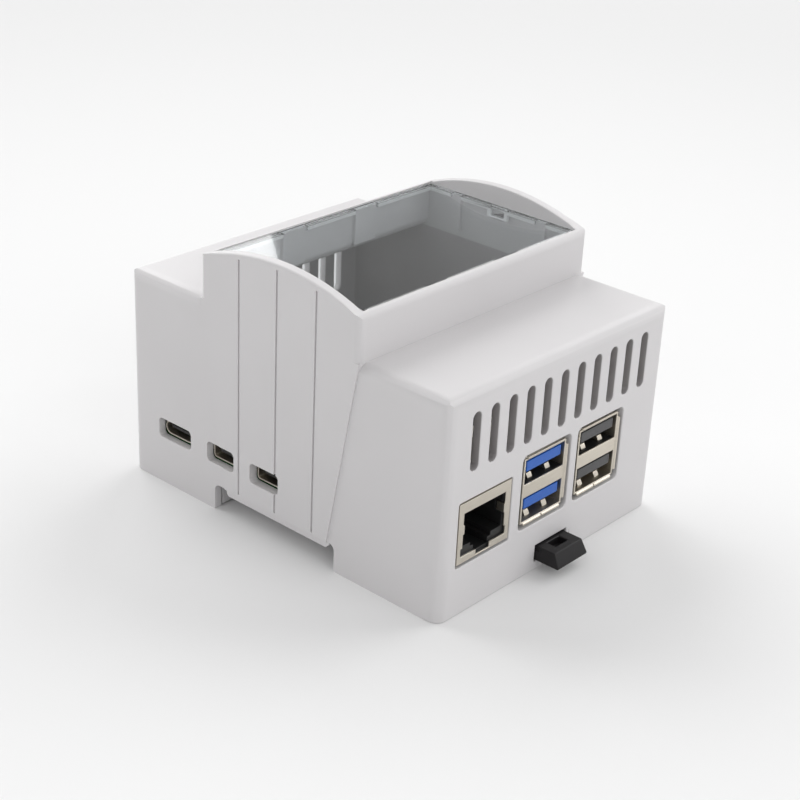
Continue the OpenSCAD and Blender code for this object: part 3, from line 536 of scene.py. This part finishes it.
# Clear polycarbonate: lets the light through with a faint cool tint and mirrors the studio.
clear_pc, tree, shader = new_finish("clear_polycarbonate")
shader.inputs["Base Color"].default_value = linear("#F4F7F8")
shader.inputs["Transmission Weight"].default_value = 1.0
shader.inputs["IOR"].default_value = 1.585
place = add_node(tree, "TexCoord")
flow = add_node(tree, "TexNoise", inputs={
    "Vector": place.outputs["Object"], "Scale": 1 / 0.01, "Detail": 1.0})
polish = add_node(tree, "MapRange", inputs={
    "Value": flow.outputs["Fac"], "To Min": 0.01, "To Max": 0.04})
tree.links.new(polish.outputs["Result"], shader.inputs["Roughness"])
path = add_node(tree, "LightPath")
pass_light = add_node(tree, "BsdfTransparent", inputs={"Color": linear("#E9ECEE")})
choose = add_node(tree, "MixShader", inputs={
    0: path.outputs["Is Shadow Ray"], 1: shader.outputs["BSDF"], 2: pass_light.outputs["BSDF"]})
output = [n for n in tree.nodes if n.type == "OUTPUT_MATERIAL"][0]
tree.links.new(choose.outputs["Shader"], output.inputs["Surface"])

# Painted highlight: the skirt's inner side and the tabs are an even white, standing in for the bright
# rim of light caught inside the clear plate.
painted_rim_highlight, tree, shader = new_finish("painted_white_rim_polycarbonate")
place = add_node(tree, "TexCoord")
rim_mottle = add_node(tree, "TexNoise", inputs={
    "Vector": place.outputs["Object"], "Scale": 1 / 0.0006, "Detail": 2.0})
tone = add_node(tree, "Mix", {"data_type": "RGBA"}, {
    0: rim_mottle.outputs["Fac"], 6: linear("#FCFCFC"), 7: linear("#F4F5F5")})
tree.links.new(tone.outputs[2], shader.inputs["Base Color"])
shader.inputs["Roughness"].default_value = 0.35
shader.inputs["Coat Weight"].default_value = 0.5

clear_cover = soften(moulding("clear_cover"), cover_edge)
fit(clear_cover, ["clear_cover"], "cover", "clear_polycarbonate", clear_pc, painted_rim_highlight)
cover_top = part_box("clear_cover")[1].z
# The skirt's inner side and the tabs take the painted white highlight.
for face in clear_cover.data.polygons:
    centre, normal = face.center, face.normal
    depth = cover_top - centre.z
    inward_x = normal.x * centre.x < 0 and abs(normal.x) > 0.7 and abs(centre.x) > skirt_x
    inward_y = normal.y * centre.y < 0 and abs(normal.y) > 0.7 and abs(centre.y) > skirt_y
    skirt_inside = window_depth < depth < skirt_depth and (inward_x or inward_y)
    tab_side = abs(centre.x) < tab_half and depth > window_depth and abs(normal.z) < 0.9
    if skirt_inside or tab_side:
        face.material_index = 1


# Stage: a plain pale floor, an even pale surround, four wide soft lights, one for each side of the
# case, and the camera.

floor_tone = "#E2E2E2"
painted_light_tone = "#EDEDED"

# Matt painted board: even and pale. The light it throws on the case keeps a trace of the roller's
# 4 mm texture; to the camera it is smooth, and paler round the case: painted light over its shadow.
paint, tree, shader = new_finish("matt_white_floor_paint")
place = add_node(tree, "TexCoord")
roller = add_node(tree, "TexNoise", inputs={
    "Vector": place.outputs["Object"], "Scale": 1 / 0.004, "Detail": 2.0})
tone = add_node(tree, "Mix", {"data_type": "RGBA"}, {
    0: roller.outputs["Fac"], 6: linear(floor_tone), 7: linear("#E1E1E1")})
distance = add_node(tree, "VectorMath", {"operation": "LENGTH"}, {0: place.outputs["Object"]})
far_off = add_node(tree, "MapRange", {"interpolation_type": "SMOOTHSTEP"}, {
    "Value": distance.outputs["Value"], "From Min": 0.12, "From Max": 0.5})
painted_light_round_case = add_node(tree, "Mix", {"data_type": "RGBA"}, {
    0: far_off.outputs["Result"], 6: linear(painted_light_tone), 7: linear(floor_tone)})
path = add_node(tree, "LightPath")
seen = add_node(tree, "Mix", {"data_type": "RGBA"}, {
    0: path.outputs["Is Camera Ray"], 6: tone.outputs[2], 7: painted_light_round_case.outputs[2]})
shader.inputs["Roughness"].default_value = 1.0
shader.inputs["Specular IOR Level"].default_value = 0.0
tree.links.new(seen.outputs[2], shader.inputs["Base Color"])

bpy.ops.object.select_all(action="DESELECT")
bpy.ops.mesh.primitive_plane_add(size=8, location=(0, 0, hood_low.z))
floor = bpy.context.object
floor.name = "studio_floor"
bpy.ops.object.transform_apply(location=True, rotation=True, scale=True)
floor.data.materials.append(paint)

world = bpy.data.worlds.new("studio")
bpy.context.scene.world = world
world.use_nodes = True
tree = world.node_tree
tree.nodes.clear()
dim = add_node(tree, "Background", inputs={"Color": linear("#FFFFFF"), "Strength": 0.3})
add_node(tree, "OutputWorld", inputs={"Surface": dim.outputs["Background"]})


def soft_sun(name, toward, strength, spread):
    """A wide, even light that shines from the direction toward."""
    turn = Vector(toward).to_track_quat("Z", "Y").to_euler()
    bpy.ops.object.light_add(type="SUN", location=(0, 0, 1), rotation=turn)
    sun = bpy.context.object
    sun.name = name
    sun.data.energy = strength * math.pi
    sun.data.angle = math.radians(spread)


soft_sun("jack_side_light", (0.9, -0.1, 0.42), 0.3, 60)
soft_sun("socket_side_light", (-0.1, -0.9, 0.42), 0.17, 60)
soft_sun("back_light", (0.1, 0.9, 0.45), 0.68, 70)
soft_sun("far_side_light", (-0.9, 0.1, 0.45), 0.78, 70)

bpy.ops.object.camera_add(location=(0.21883, -0.24935, 0.17810))
camera = bpy.context.object
camera.name = "camera"
camera.data.lens = 76.42
camera.data.sensor_width = 36

# It stands off the corner between the jacks and the small sockets. right and back are its own axes:
# it looks the other way from back.
right = Vector((0.74018, 0.67102, 0.04319))
back = Vector((0.5896, -0.6785, 0.4382))
up = back.cross(right).normalized()
right = up.cross(back).normalized()
camera.rotation_euler = Matrix((right, up, back.normalized())).transposed().to_euler()
bpy.context.scene.camera = camera
bpy.context.scene.view_settings.view_transform = "Standard"
